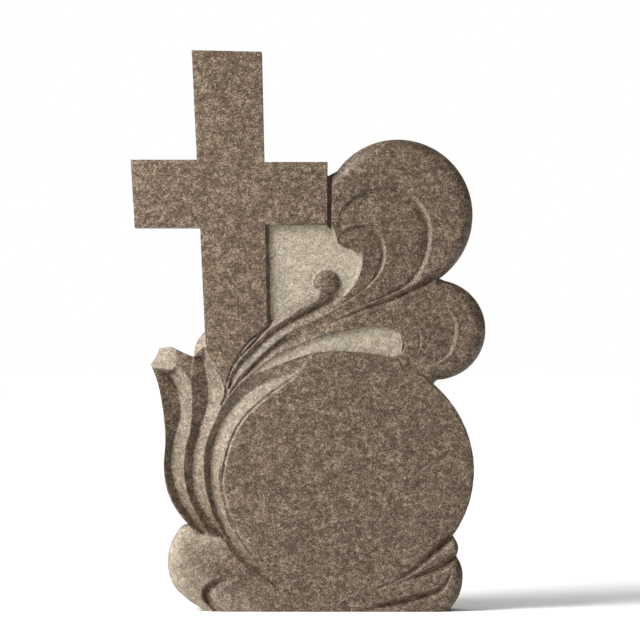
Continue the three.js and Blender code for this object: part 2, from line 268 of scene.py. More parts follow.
def spline(points, count=0):
    """A Catmull-Rom curve through the points, cut into equal steps of its length."""
    points = np.asarray(points, float)
    ends = np.vstack([points[:1], points, points[-1:]])
    run = np.linspace(0, len(points) - 1, SPLINE_SAMPLES)
    k = np.minimum(run.astype(int), len(points) - 2)
    t = (run - k)[:, None]
    a, b, c, d = (ends[k + i] for i in range(4))
    fine = b + ((c - a) * t + (2 * a - 5 * b + 4 * c - d) * t**2 + (3 * b - a - 3 * c + d) * t**3) / 2
    length = np.concatenate([[0], np.cumsum(np.linalg.norm(np.diff(fine, axis=0), axis=1))])
    count = count or math.ceil(length[-1] / OUTLINE_STEP)
    places = np.linspace(0, length[-1], count + 1)
    return np.stack([np.interp(places, length, fine[:, i]) for i in range(2)], 1)


def line(*points):
    """A carving line, in the steps that troughs use."""
    return spline(points, CARVING_STEPS)


def arc(centre, radii, turn, growth=0.0):
    """Part of an ellipse, whose radius may grow along the way."""
    count = math.ceil(abs(turn[1] - turn[0]) * math.pi / 180 * max(radii) / OUTLINE_STEP)
    t = np.linspace(0, 1, count + 1)
    angle = np.radians(turn[0] + (turn[1] - turn[0]) * t)
    far = growth * t**2
    x = centre[0] + (radii[0] + far) * np.cos(angle)
    z = centre[1] + (radii[1] + far) * np.sin(angle)
    return np.stack([x, z], 1)


def between(one, other, part):
    """A line part of the way from one line to another, or a width between two."""
    return one + (other - one) * part


def swell(t):
    """0 at both ends and 1 in the middle."""
    return np.sin(math.pi * t)


def swelling(depth, start=0.0, length=1.0, least=0.0):
    """A depth or width that swells along a line, over that part of a full swell."""
    return lambda t: least + depth * swell(start + length * t)


def tapering(start, fall, size=1):
    """A depth or width that lessens evenly along a line."""
    return lambda t: size * (start - fall * t)


def painted_highlight(start, end, most=HONED_AND_HIGHLIGHT):
    """A paler, frosted-looking colour painted from one place along a line to another, faded out at both, as a
    painted highlight where a wall faces the light.
    """
    return lambda t: most * np.clip((t - start) / HIGHLIGHT_FADE, 0, 1) * np.clip((end - t) / HIGHLIGHT_FADE, 0, 1)


def sideways(path, closed=False):
    """Unit vectors to the left of a path, at its points."""
    along = np.roll(path, -1, 0) - np.roll(path, 1, 0) if closed else np.gradient(path, axis=0)
    along = along / np.maximum(np.linalg.norm(along, axis=1, keepdims=True), 1e-9)
    return np.stack([-along[:, 1], along[:, 0]], 1)


def evenly(outline):
    """A closed outline with points added, so that no step is longer than the usual one."""
    out = []
    for here, there in zip(outline, np.roll(outline, -1, 0)):
        count = max(1, math.ceil(np.linalg.norm(there - here) / OUTLINE_STEP - 1e-6))
        out.append(here + (there - here) * (np.arange(count) / count)[:, None])
    return np.vstack(out)


def area(outline):
    """The area of a closed outline, positive where it runs anticlockwise."""
    x, z = outline.T
    return (x * np.roll(z, -1) - z * np.roll(x, -1)).sum() / 2


def inside(outline, points):
    """How far inside a closed outline each point is, and negative outside it."""
    depth = np.full(len(points), -OFF_STONE)
    near = ((points > outline.min(0) - NEARBY) & (points < outline.max(0) + NEARBY)).all(1)
    places = np.nonzero(near)[0]
    start, end = outline, np.roll(outline, -1, 0)
    along = end - start
    span = np.maximum((along**2).sum(1), 1e-12)
    for low in range(0, len(places), CHUNK):
        part = places[low : low + CHUNK]
        x, z = points[part, 0][:, None], points[part, 1][:, None]
        dx, dz = x - start[:, 0], z - start[:, 1]
        t = np.clip((dx * along[:, 0] + dz * along[:, 1]) / span, 0, 1)
        gap = np.hypot(dx - t * along[:, 0], dz - t * along[:, 1]).min(1)
        rises = (start[:, 1] > z) != (end[:, 1] > z)
        slope = np.where(along[:, 1] == 0, 1e-12, along[:, 1])
        crossings = (rises & (dx < dz * along[:, 0] / slope)).sum(1)
        depth[part] = np.where(crossings % 2 == 1, gap, -gap)
    return depth


class Plate:
    """A plate of stone of an outline, with its front edge rounded."""

    def __init__(self, parts, edge, drop=0.0, finish=None):
        outline = np.vstack(parts).astype(float)
        self.outline = outline if area(outline) > 0 else outline[::-1]
        self.edge = edge
        self.drop = drop
        self.finish = finish or (lambda points, gap: np.full(len(points), POLISHED))

    def depth(self, points):
        """How deep the front of this plate lies at the points, and its finish."""
        gap = inside(self.outline, points)
        rest = self.edge - np.clip(gap, 0, self.edge)
        round_off = self.edge - np.sqrt(self.edge**2 - rest**2)
        return np.where(gap >= 0, self.drop + round_off, OFF_STONE), self.finish(points, gap)

    def rings(self):
        """Paths round the rounded edge, each with its depth."""
        outline = evenly(self.outline)
        inward = sideways(outline, closed=True)
        for turn in RING_TURNS:
            angle = math.radians(turn)
            depth = self.drop + self.edge * (1 - math.sin(angle))
            yield outline + inward * self.edge * (1 - math.cos(angle)), depth


class Trough:
    """A cutter whose floor runs across from line to line, each at its own depth along the way."""

    def __init__(self, lines, depths, finish=POLISHED):
        t = np.linspace(0, 1, len(lines[0]))
        self.lines = lines
        finishes = finish if isinstance(finish, list) else [finish] * (len(lines) - 1)
        self.depths, self.finishes = (
            [np.broadcast_to(each(t) if callable(each) else each, t.shape) for each in values]
            for values in (depths, finishes))

    def floor(self):
        """The floor's points and triangles, and the finish of each triangle."""
        count = len(self.lines[0])
        points = [(x, z, -deep) for path, depths in zip(self.lines, self.depths)
                  for (x, z), deep in zip(path, depths)]
        faces = []
        for k in range(len(self.lines) - 1):
            for i in range(count - 1):
                a = k * count + i
                faces += [(a, a + 1, a + 1 + count), (a, a + 1 + count, a + count)]
        return points, faces, [each for finish in self.finishes for each in np.repeat(finish[:-1], 2)]


class Pit:
    """A cutter of an outline with a flat floor."""

    def __init__(self, outline, depth, finish=POLISHED):
        self.lines = [evenly(np.asarray(outline, float))]
        self.outline = outline
        self.level = depth
        self.finish = finish

    def floor(self):
        """The floor's points and triangles, and the finish of each triangle."""
        points = [Vector((x, z, -self.level)) for x, z in self.outline]
        faces = [tuple(face) for face in geometry.tessellate_polygon([points])]
        return points, faces, [self.finish] * len(faces)


def groove(path, width, depth, finish=POLISHED):
    """A V groove of a width and depth that follow the path."""
    t = np.linspace(0, 1, len(path))[:, None]
    half = sideways(path) * (width(t) if callable(width) else width) / 2
    return Trough([path + half, path, path - half], [0, depth, 0], finish)


class Floors:
    """The floors of several cutters, which tell how deep they reach."""

    def __init__(self, cutters):
        points, faces, self.finish = [], [], []
        for cutter in cutters:
            some, more, finishes = cutter.floor()
            faces += [tuple(i + len(points) for i in face) for face in more]
            points += [Vector(point) for point in some]
            self.finish += list(finishes)
        self.tree = BVHTree.FromPolygons(points, faces, all_triangles=True)

    def reach(self, points):
        """The deepest floor at each point, 0 where there is none, and its finish."""
        depth = np.zeros(len(points))
        finish = np.zeros(len(points))
        up = Vector((0, 0, 1))
        for i, (x, z) in enumerate(points.tolist()):
            hit, _normal, face, _far = self.tree.ray_cast((x, z, -OFF_STONE), up)
            if hit is not None:
                depth[i] = -hit.z
                finish[i] = self.finish[face]
        return depth, finish


def shaft_side(level, side):
    """The left (-1) or right (1) side of the shaft at a level, with its foot half way up the stone."""
    down = (HEIGHT - level) / (HEIGHT / 2)
    axis = SHAFT_AXIS_TOP + (SHAFT_AXIS_FOOT - SHAFT_AXIS_TOP) * down
    return axis + side * (SHAFT_WIDTH_TOP + (SHAFT_WIDTH_FOOT - SHAFT_WIDTH_TOP) * down) / 2


ARM_TOP = (ARM_AXIS_LEVEL + ARM_HEIGHT_LEFT / 2, ARM_AXIS_LEVEL + ARM_HEIGHT_RIGHT / 2)
ARM_LOW = (ARM_AXIS_LEVEL - ARM_HEIGHT_LEFT / 2, ARM_AXIS_LEVEL - ARM_HEIGHT_RIGHT / 2)


def cross_plate():
    """The plain cross, which keeps the full thickness."""
    return Plate([[
        (shaft_side(HEIGHT, -1), HEIGHT),
        (shaft_side(ARM_TOP[0], -1), ARM_TOP[0]),
        (ARM_LEFT_END - ARM_END_LEAN, ARM_TOP[0]),
        (ARM_LEFT_END + ARM_END_LEAN, ARM_LOW[0]),
        (shaft_side(ARM_LOW[0], -1), ARM_LOW[0]),
        (shaft_side(CROSS_FOOT, -1), CROSS_FOOT),
        (shaft_side(CROSS_FOOT, 1), CROSS_FOOT),
        (shaft_side(ARM_LOW[1], 1), ARM_LOW[1]),
        (ARM_RIGHT_END, ARM_LOW[1]),
        (ARM_RIGHT_END, ARM_TOP[1]),
        (shaft_side(ARM_TOP[1], 1), ARM_TOP[1]),
        (shaft_side(HEIGHT, 1), HEIGHT - CROSS_TOP_FALL),
    ]], CROSS_EDGE)


def crown_plate():
    """The plume and its lower lobe, with the hidden stone behind the cross and the stems."""
    plume = arc(PLUME_CENTRE, (PLUME_RADIUS, PLUME_RADIUS), PLUME_TURN, PLUME_GROWTH)
    plume = plume[(plume[:, 0] > PLUME_START[0]) | (plume[:, 1] > PLUME_START[1])]
    lobe = arc(LOBE_CENTRE, (LOBE_RADIUS, LOBE_RADIUS), LOBE_TURN)
    behind = [(-110, 400), (-110, 800), (0, 800), (24, 848), (ARM_RIGHT_END + BEHIND_REACH, 857)]
    return Plate([behind, plume, lobe, [(200, 400), (0, 380)]], LOBE_EDGE)


def shield_plate():
    """The blank oval shield."""
    return Plate([arc(SHIELD_CENTRE, SHIELD_RADII, (0, 360))[:-1]], SHIELD_EDGE)


def leaf_plate():
    """The three narrow leaves at the left."""
    left = spline([(-232, 168), (-253, 192), (-271, 223), (-280, 254), (-283, 288), (-280, 335), (-283, 380),
                   (-290, 427), (-298, 458), (-309, 485)])
    tips = [(-299, 498), (-293, 516), (-271, 518), (-241, 504), (-226, 498), (-222, 519), (-216, 534),
            (-204, 548)]
    behind = [(-150, 548), (-110, 470), (-40, 440), (-60, 120), (-190, 100)]
    return Plate([left, tips, behind], LEAF_EDGE, LEAF_DROP)


def cushion_painted_sheen(points, gap):
    """The cushion gets a pale painted sheen round its left end, standing in for the light's reflection there,
    and is polished further in.
    """
    leftness = (CUSHION_SHEEN_END - points[:, 0]) / CUSHION_SHEEN_LENGTH
    return CUSHION_PAINTED_SHEEN * np.clip(1 - gap / CUSHION_SHEEN_REACH, 0, 1) * np.clip(leftness, 0, 1)


def base_plates():
    """The cushion at the left of the base and the two rolls at its right."""
    cushion = spline([(-100, -BASE_TUCK), (-178, -BASE_TUCK), (-205, 1), (-237, 22), (-265, 51), (-276, 90),
                      (-271, 129), (-255, 158), (-240, 168), (-215, 168)])
    roll = spline([(286, 116), (300, 90), (303, 62), (296, 32), (280, 6), (262, -BASE_TUCK)])
    small = spline([(270, 164), (285, 147), (294, 126), (287, 104), (270, 96)])
    return [
        # The cushion's finish paints a sheen at its left end
        Plate([cushion, [(-60, 190), (60, 160), (60, -BASE_TUCK)]], CUSHION_EDGE, finish=cushion_painted_sheen),
        Plate([[(-20, -BASE_TUCK), (-20, 130), (240, 126)], roll], ROLL_EDGE),
        Plate([[(60, 100), (60, 170), (240, 172)], small], SMALL_ROLL_EDGE),
    ]


def leaf_ends():
    """Cutters for the leaf ends, which turn back, and whose stone is left rough; the rough colour darkens
    along the end and turns to dulled brown on its right part as painted shade.
    """
    # Painted shade on the right part of the leaf end, which is turned from the light
    end_finish_and_shade = lambda t: np.where(t < LEAF_END_SHADE_START, LEAF_END_FINISH - LEAF_END_PAINTED_SHADING * t, DULLED)
    end = Trough([
        line((-316, 474), (-300, 478), (-268, 474), (-246, 465), (-230, 452)),
        line((-326, 540), (-300, 540), (-268, 540), (-240, 530), (-224, 520)),
    ], [lambda t: LEAF_DROP + LEAF_END_FALL * (1 - t), LEAF_END_DEPTH], end_finish_and_shade)
    tip = Trough([
        line((-228, 496), (-212, 514), (-200, 520)),
        line((-236, 556), (-222, 562), (-204, 566)),
    ], [LEAF_DROP + LEAF_TIP_FALL, LEAF_TIP_DEPTH], LEAF_TIP_FINISH)
    return [end, tip]


def plume_scoops():
    """The two nested scoops of the plume, and the one of the lobe with a fine line in it."""
    outer = line((62, 783), (82, 806), (121, 828), (176, 832), (215, 808), (238, 771), (240, 718), (224, 670),
                 (196, 638), (150, 616), (95, 595), (40, 568))
    middle = line((60, 736), (84, 754), (118, 757), (145, 735), (152, 700), (144, 668), (120, 638), (86, 613),
                  (52, 594), (15, 570))
    inner = scoop_inner()
    rim = line((262, 622), (277, 595), (290, 570), (292, 545), (285, 515), (268, 495), (238, 480))
    hollow = line((200, 590), (210, 575), (219, 560), (221, 538), (217, 522), (210, 508), (204, 492))
    hollow_line = line((212, 560), (217, 545), (219, 528), (217, 514), (211, 502))
    outer_floor = swelling(SCOOP_DEPTH, 0.1, 0.85)
    inner_floor = swelling(INNER_SCOOP_DEPTH, 0.1, 0.9)
    inner_hollow = lambda t: CREST_DEPTH + (HOLLOW_DEPTH + HOLLOW_GAIN * t) * inner_floor(t)
    # The lit parts of the scoops' rim walls and the inner lip get a painted highlight
    return [
        Trough([outer, between(outer, middle, OUTER_WALL), between(outer, middle, HOLLOW), middle],
               [0, outer_floor, lambda t: CREST_DEPTH + HOLLOW_DEPTH * outer_floor(t), CREST_DEPTH],
               [painted_highlight(0.26, 0.78), POLISHED, POLISHED]),
        Trough([middle, between(middle, inner, MIDDLE_WALL), between(middle, inner, HOLLOW),
                between(middle, inner, INNER_LIP), inner],
               [CREST_DEPTH, inner_floor, inner_hollow, swelling(INNER_LIP_DEPTH, least=CREST_DEPTH),
                ground_side],
               [painted_highlight(0.26, 1.0), POLISHED, POLISHED, painted_highlight(0.2, 0.95, LIP_HIGHLIGHT)]),
        Trough([rim, between(rim, hollow, LOBE_WALL), hollow], [0, swelling(LOBE_SCOOP_DEPTH), 0],
               [painted_highlight(0.2, 0.95), POLISHED]),
        groove(hollow_line, LOBE_LINE_WIDTH, swelling(LOBE_LINE_DEPTH), DULLED),
    ]


def ground_side(t):
    """How deep the sunk ground meets the carving at its right and below it, along their lines."""
    return GROUND_DEPTH * (1 - GROUND_RISE * t)


def scoop_inner():
    """The inner rim of the plume's scoops, down to the sunk ground."""
    return line((58, 722), (70, 714), (86, 709), (97, 698), (99, 685), (93, 660), (80, 637), (63, 616),
                (38, 598), (5, 578))


def stem_top():
    """The upper edge of the stem."""
    return line((12, 652), (9, 640), (-6, 619), (-26, 605), (-45, 593), (-61, 579), (-73, 568), (-91, 548),
                (-114, 522), (-134, 500), (-150, 476))


def stems():
    """The stem, the rib below it, the frosted strip over the shield, and the fine lines beside them."""
    top = stem_top()
    crest = line((26, 634), (18, 611), (0, 601), (-16, 593), (-36, 579), (-55, 566), (-71, 556), (-91, 538),
                 (-114, 515), (-134, 493), (-150, 470))
    foot = line((60, 624), (43, 609), (19, 597), (0, 587), (-16, 579), (-36, 567), (-55, 556), (-71, 544),
                (-91, 526), (-114, 501), (-134, 481), (-156, 440))
    rib = line((82, 606), (43, 587), (11, 571), (-16, 558), (-36, 548), (-55, 534), (-75, 519), (-94, 501),
               (-114, 481), (-134, 462), (-160, 424))
    rib_foot = line((40, 552), (-16, 536), (-65, 519), (-104, 483), (-143, 440), (-165, 408))
    rib_edge = line((37, 546), (-16, 526), (-60, 507), (-104, 474), (-143, 436), (-167, 406))
    strip_top = line((184, 527), (176, 548), (150, 557), (110, 557), (23, 538), (-55, 505), (-114, 462),
                     (-169, 405))
    strip_low = line((183, 525), (180, 508), (160, 500), (110, 508), (23, 509), (-55, 485), (-114, 450),
                     (-173, 390))
    strip_rim = line((146, 557), (170, 551), (182, 540), (187, 522), (182, 508), (162, 499))
    strip_depth = tapering(STRIP_DEPTH, STRIP_RISE)
    left_of_stem = line((-74, 562), (-98, 544), (-118, 527), (-134, 505), (-149, 478), (-160, 446))
    leaf_and_cross = line((-203, 516), (-181, 480), (-166, 450), (-160, 430), (-170, 404))
    return [
        Trough([strip_top, strip_low], [strip_depth, strip_depth], FROSTED),
        # The rib's and the stem's facets that face the light get a painted highlight, the stem's upper facet
        # the full honed one
        Trough([rib, rib_foot, rib_edge], [CREST_DEPTH, swelling(RIB_DEPTH, least=CREST_DEPTH), CREST_DEPTH],
               [POLISHED, RIB_HIGHLIGHT]),
        Trough([top, crest], [ground_side, CREST_DEPTH], HONED_AND_HIGHLIGHT),
        groove(strip_rim, STRIP_RIM_WIDTH, STRIP_RIM_DEPTH, DULLED),
        Trough([crest, between(crest, foot, STEM_ROUND), foot, rib],
               [CREST_DEPTH, lambda t: STEM_ROUND_DEPTH * (1 + t), tapering(1, STEM_RISE, STEM_DEPTH),
                CREST_DEPTH],
               [POLISHED, POLISHED, STEM_HIGHLIGHT]),
        groove(left_of_stem, lambda t: LINE_WIDTH * (1 + t), LINE_DEPTH),
        groove(leaf_and_cross, lambda t: between(*LEAF_LINE_WIDTHS, t**2),
               lambda t: LEAF_LINE_DEPTH * (0.6 + 0.6 * t)),
    ]


def leaf_flutes():
    """The ridges and flutes of the leaves, the channel round the shield and the fine line at its rim."""
    left = line((-304, 478), (-294, 440), (-283, 390), (-279, 348), (-281, 320), (-282, 288), (-277, 252),
                (-267, 222), (-234, 172), (-208, 152))
    valley = line((-274, 466), (-258, 440), (-251, 405), (-252, 375), (-263, 338), (-269, 298), (-264, 258),
                  (-247, 212), (-205, 152))
    ridge = line((-236, 500), (-233, 470), (-230, 435), (-229, 400), (-231, 358), (-242, 314), (-243, 262),
                 (-228, 208), (-196, 151))
    tip_valley = line((-208, 500), (-198, 455), (-197, 410), (-204, 384), (-218, 338), (-226, 286),
                      (-224, 240), (-208, 202), (-170, 146))
    tip_right = line((-204, 513), (-180, 478), (-168, 450), (-168, 425), (-179, 383), (-200, 331),
                     (-205, 278), (-194, 213), (-160, 138))
    channel_left = line((10, 507), (-104, 466), (-147, 429), (-177, 386), (-200, 331), (-205, 278),
                        (-194, 213), (-169, 151), (-134, 102), (-63, 49))
    channel_valley = line((-22, 468), (-76, 451), (-124, 424), (-163, 379), (-186, 327), (-192, 268),
                          (-185, 213), (-167, 168), (-138, 122), (-60, 46))
    channel_right = line((-24, 466), (-75, 430), (-125, 386), (-156, 332), (-171, 264), (-166, 218),
                         (-148, 165), (-122, 122), (-59, 45))
    rim_line = channel_right + sideways(channel_right) * (RIM_LINE_WIDTH / 2 - RIM_LINE_LAP)
    floor = FLUTE_DEPTH + LEAF_DROP
    crest = LEAF_DROP + RIDGE_DEPTH
    # Painted highlight: the half of each flute and of the channel that faces the light, and the ridge crests,
    # get a paler honed colour; the shaded halves stay polished or dulled
    flute_highlight = lambda t: HONED_AND_HIGHLIGHT * np.clip(FLUTE_HIGHLIGHT_FADE * (1 - t), 0, 1)
    ridge_highlight = lambda t: RIDGE_HIGHLIGHT * np.clip(FLUTE_HIGHLIGHT_FADE * (1 - t), 0, 1)
    return [
        *(Trough([path + sideways(path) * RIDGE_WIDTH / 2, path - sideways(path) * RIDGE_WIDTH / 2],
                 [crest, crest], ridge_highlight) for path in (ridge, tip_right)),
        Trough([left, valley, ridge], [LEAF_DROP, floor, LEAF_DROP], [POLISHED, flute_highlight]),
        Trough([ridge, tip_valley, tip_right], [LEAF_DROP, floor, LEAF_DROP], [POLISHED, flute_highlight]),
        Trough([channel_left, channel_valley, channel_right],
               [LEAF_DROP, swelling(CHANNEL_DEPTH, 0.02, 0.9, CHANNEL_START), CHANNEL_LIP],
               [DULLED, lambda t: CHANNEL_HIGHLIGHT * flute_highlight(t)]),
        groove(rim_line, RIM_LINE_WIDTH, swelling(RIM_LINE_DEPTH, 0.1, 0.8), [flute_highlight, DULLED]),
    ]


def creases():
    """The creases between the plume's lobes, the shield and the rolls of the base."""
    plume_and_lobe = line((270, 660), (236, 645), (206, 631), (166, 612), (121, 596), (77, 579), (33, 560))
    lobe_and_shield = line((262, 440), (248, 448), (229, 462), (205, 478))
    over_small_roll = line((290, 152), (277, 143), (238, 108), (183, 66), (125, 41))
    over_roll = line((300, 112), (287, 106), (252, 84), (180, 57), (150, 52))
    along_roll = line((284, 84), (277, 68), (262, 46), (236, 34), (189, 20), (100, 2))
    scroll = line((-150, 60), (-176, 57), (-196, 44), (-200, 28), (-190, 10), (-172, -4))
    return [
        groove(plume_and_lobe, tapering(22, 16), tapering(1, 0.85, CREASE_DEPTH)),
        groove(lobe_and_shield, tapering(18, 14), tapering(0.75, 0.68, CREASE_DEPTH)),
        groove(over_small_roll, tapering(22, 15), tapering(1.05, 0.9, CREASE_DEPTH)),
        groove(over_roll, tapering(24, 14), tapering(1.2, 1.05, CREASE_DEPTH)),
        groove(along_roll, swelling(16, least=4), swelling(CREASE_DEPTH)),
        groove(scroll, 20, swelling(CREASE_DEPTH, 0.08, 0.7)),
    ]


def sunk_ground():
    """The frosted ground between the shaft, the arm, the plume and the stem."""
    inner = scoop_inner()
    inner = inner[inner[:, 1] > BUD_CENTRE[1] - BUD_RADIUS]
    stem = [(x, z) for x, z in stem_top() if x > shaft_side(z, 1) + SHAFT_WALL]
    return Pit([
        (shaft_side(ARM_LOW[1], 1) + SHAFT_WALL - GROUND_LAP, ARM_LOW[1]),
        (ARM_RIGHT_END + SLOT_WIDTHS[0], ARM_LOW[1]),
        (50, 750),
        *inner,
        (46, 619),
        (23, 631),
        *stem,
        (shaft_side(GROUND_FOOT, 1) + SHAFT_WALL - GROUND_LAP, GROUND_FOOT),
    ], GROUND_DEPTH, FROSTED)


def shaft_wall():
    """The side of the shaft, which slopes down to the sunk ground and is darkest at its foot."""
    side = line(*((shaft_side(level, 1), level) for level in (ARM_LOW[1], GROUND_FOOT)))
    return Trough([side, side + sideways(side) * SHAFT_WALL],
                  [SHAFT_WALL_START, GROUND_DEPTH + GROUND_LAP])


def slot():
    """The deep dark gap between the arm's end and the plume."""
    return Pit([
        (ARM_RIGHT_END, 900),
        (ARM_RIGHT_END, ARM_LOW[1]),
        (ARM_RIGHT_END + SLOT_WIDTHS[0], ARM_LOW[1] - SLOT_FOOT_DROP),
        (ARM_RIGHT_END + SLOT_WIDTHS[1], 862),
        (ARM_RIGHT_END + SLOT_WIDTHS[2], 900),
    ], SLOT_DEPTH, HONED_AND_HIGHLIGHT)


class Relief:
    """The whole front of the stone."""

    def __init__(self, softness):
        self.cross = cross_plate()
        self.plates = [crown_plate(), shield_plate(), leaf_plate(), *base_plates()]
        self.cutters = [*plume_scoops(), *stems(), *leaf_flutes(), *creases(),
                        sunk_ground(), shaft_wall(), slot()]
        self.ends = leaf_ends()
        self.end_floors = Floors(self.ends)
        self.floors = Floors(self.cutters)
        self.softness = softness

    def outlines(self):
        """Every plate of the stone."""
        return [self.cross, *self.plates]

    def depth(self, points):
        """The depth and the finish of the surface at the points."""
        depths, finishes = np.array([plate.depth(points) for plate in self.plates]).swapaxes(0, 1)
        front = depths.argmin(0)[None]
        depth = np.take_along_axis(depths, front, 0)[0]
        finish = np.take_along_axis(finishes, front, 0)[0]
        end, end_finish_and_shade = self.end_floors.reach(points)
        finish = np.where(end > depth, end_finish_and_shade, finish)
        depth = np.maximum(depth, end)
        cross, _ = self.cross.depth(points)
        finish = np.where(cross < depth, POLISHED, finish)
        depth = np.minimum(depth, cross)
        floor, cut_finish = self.floors.reach(points)
        finish = np.where(floor > depth, cut_finish, finish)
        depth = np.maximum(depth, floor)
        far = np.hypot(points[:, 0] - BUD_CENTRE[0], points[:, 1] - BUD_CENTRE[1]) / BUD_RADIUS
        bud = GROUND_DEPTH * (1 - np.sqrt(np.clip(1 - far**2, 0, 1)))
        on_bud = (far < 1) & (bud < depth)
        return np.where(on_bud, bud, depth), np.where(on_bud, POLISHED, finish)

    def soft_depth(self, points):
        """The depth and the finish, with the arrises worn round."""
        total = np.zeros(len(points))
        finishes = np.zeros(len(points))
        weight = np.zeros(len(points))
        around = [(0.0, 0.0)] + [(math.cos(k * math.pi / 3), math.sin(k * math.pi / 3)) for k in range(6)]
        for offset in around:
            depth, finish = self.depth(points + np.array(offset) * self.softness)
            held = depth < THICKNESS
            total += np.where(held, depth, 0)
            finishes += np.where(held, finish, 0)
            weight += held
        weight = np.maximum(weight, 1)
        return total / weight, finishes / weight


def silhouette(relief):
    """The outline of all the plates joined, sawn off at the ground, anticlockwise."""
    points, edges = [], []
    for plate in relief.outlines():
        some = evenly(plate.outline)
        first = len(points)
        points += some.tolist()
        edges += [(first + i, first + (i + 1) % len(some)) for i in range(len(some))]
    reach = np.abs(np.array(points)).max() * 2
    points += [(-reach, 0.0), (reach, 0.0)]
    edges.append((len(points) - 2, len(points) - 1))
    made = geometry.delaunay_2d_cdt([Vector(point) for point in points], edges, [], 0, 1e-4)
    places = np.array([tuple(point) for point in made[0]])
    faces = np.array(made[2])
    centres = places[faces].mean(1)
    held = np.zeros(len(faces), bool)
    for plate in relief.outlines():
        held |= inside(plate.outline, centres) > 0
    held &= centres[:, 1] > 0
    loops = [places[loop] for loop in border_loops(faces[held])]
    return tidy_loop(max(loops, key=lambda loop: abs(area(loop))))


def border_loops(faces):
    """The closed paths round the triangles, each as its points in order."""
    open_edges = {}
    for a, b, c in faces:
        for start, end in ((a, b), (b, c), (c, a)):
            if (end, start) in open_edges:
                del open_edges[(end, start)]
            else:
                open_edges[(start, end)] = True
    following = dict(open_edges.keys())
    while following:
        start, here = following.popitem()
        loop = [start]
        while here != start:
            loop.append(here)
            here = following.pop(here)
        yield loop


def tidy_loop(loop):
    """The loop without very short steps, and with the sawn foot cut into even ones."""
    loop = loop if area(loop) > 0 else loop[::-1]
    kept = []
    for point in loop:
        if not kept or np.linalg.norm(point - kept[-1]) > SHORTEST_STEP:
            kept.append(point)
    if np.linalg.norm(kept[0] - kept[-1]) < SHORTEST_STEP:
        kept.pop()
    return evenly(np.array(kept))


class Spread:
    """Points that keep a gap to each other."""

    CELL = 2.6

    def __init__(self):
        self.cells = {}
        self.points = []

    def add(self, points, gap):
        """Adds each point that is far enough from those before it."""
        least = gap * gap
        for x, z in points.tolist():
            column, row = int(x // self.CELL), int(z // self.CELL)
            cells = [(column + i, row + j) for i in (-1, 0, 1) for j in (-1, 0, 1)]
            near = (p for cell in cells for p in self.cells.get(cell, ()))
            if all((p[0] - x) ** 2 + (p[1] - z) ** 2 >= least for p in near):
                self.cells.setdefault((column, row), []).append((x, z))
                self.points.append((x, z))


def arris_rows(relief, path, closed):
    """Rows of points along a path, where the surface bends there."""
    across = sideways(path, closed)
    span = ROW_GAPS[-1]
    here, _ = relief.depth(path)
    left, _ = relief.depth(path + across * span)
    right, _ = relief.depth(path - across * span)
    bends = (np.abs(left + right - 2 * here) > LEAST_BEND) | (np.abs(left - right) > LEAST_STEP)
    return [path[bends] + across[bends] * gap for gap in ROW_GAPS]


def carved_paths(relief):
    """Every line of the carving and the plates, with whether it is closed."""
    for cutter in [*relief.cutters, *relief.ends]:
        for path in cutter.lines:
            yield path, isinstance(cutter, Pit)
    for plate in relief.outlines():
        yield evenly(plate.outline), True


def face_points(relief, rim, fine, plain):
    """The points of the front face: rows along each arris, rings round edges, and a fill."""
    spread = Spread()
    spread.add(rim, 0)
    within = lambda points, gap: points[inside(rim, points) > gap]
    for path, closed in carved_paths(relief):
        for row in arris_rows(relief, path, closed):
            spread.add(within(row, ROW_SPACING), ROW_SPACING)
    for plate in relief.outlines():
        for ring, depth in plate.rings():
            ring = within(ring, ROW_SPACING)
            shows = np.abs(relief.depth(ring)[0] - depth) < RING_SHOWS
            spread.add(ring[shows], RING_SPACING)
    around = np.linspace(0, 2 * math.pi, BUD_SIDES, endpoint=False)
    for part in BUD_RINGS:
        circle = np.stack([np.cos(around), np.sin(around)], 1) * BUD_RADIUS * part + BUD_CENTRE
        spread.add(circle, RING_SPACING)
    spread.add(fill(relief, rim, fine, plain), FILL_SPACING * fine)
    return spread.points[len(rim):]


def fill(relief, rim, fine, plain):
    """A field of points, close together where the stone is carved and wide apart where it is flat."""
    low, high = rim.min(0), rim.max(0)
    rows = np.arange(low[1], high[1], fine * math.sqrt(0.75))
    columns = np.arange(low[0], high[0], fine)
    x, z = np.meshgrid(columns, rows)
    x = x + (np.arange(len(rows)) % 2)[:, None] * fine / 2
    points = np.stack([x.ravel(), z.ravel()], 1)
    depth, finish = relief.depth(points)
    depth = np.minimum(depth, THICKNESS).reshape(x.shape)
    rise, run = np.gradient(depth)
    carved = (np.hypot(rise, run) > LEAST_SLOPE) | (finish.reshape(x.shape) > LEAST_FINISH)
    every = max(1, round(plain / fine))
    sparse = np.zeros(x.shape, bool)
    sparse[::every, ::every] = True
    chosen = (carved | sparse).ravel() & (inside(rim, points) > FILL_MARGIN)
    return points[chosen]


def edge_depths(relief, loop):
    """How deep the side wall starts at each point of the silhouette."""
    start = np.full(len(loop), OFF_STONE)
    for plate in relief.outlines():
        on_edge = np.abs(inside(plate.outline, loop)) < ON_EDGE
        start = np.where(on_edge, np.minimum(start, plate.drop + plate.edge), start)
    return start


def rim_and_wall(relief, loop):
    """The front face's rim, just inside the silhouette, and how deep the side wall starts."""
    wall = edge_depths(relief, loop)
    sawn = (loop[:, 1] < ON_GROUND) | (wall > THICKNESS)
    shift = np.clip(wall * (1 - math.cos(math.radians(RIM_TURN))), *RIM_SHIFTS)
    shift[sawn] = RIM_SHIFTS[0]
    rim = loop + sideways(loop, closed=True) * shift[:, None]
    rim[:, 1] = np.maximum(rim[:, 1], RIM_SHIFTS[0])
    rim_depth, _ = relief.soft_depth(rim)
    return rim, np.where(sawn, rim_depth + SAWN_WALL_GAP, np.maximum(wall, rim_depth + WALL_GAP))


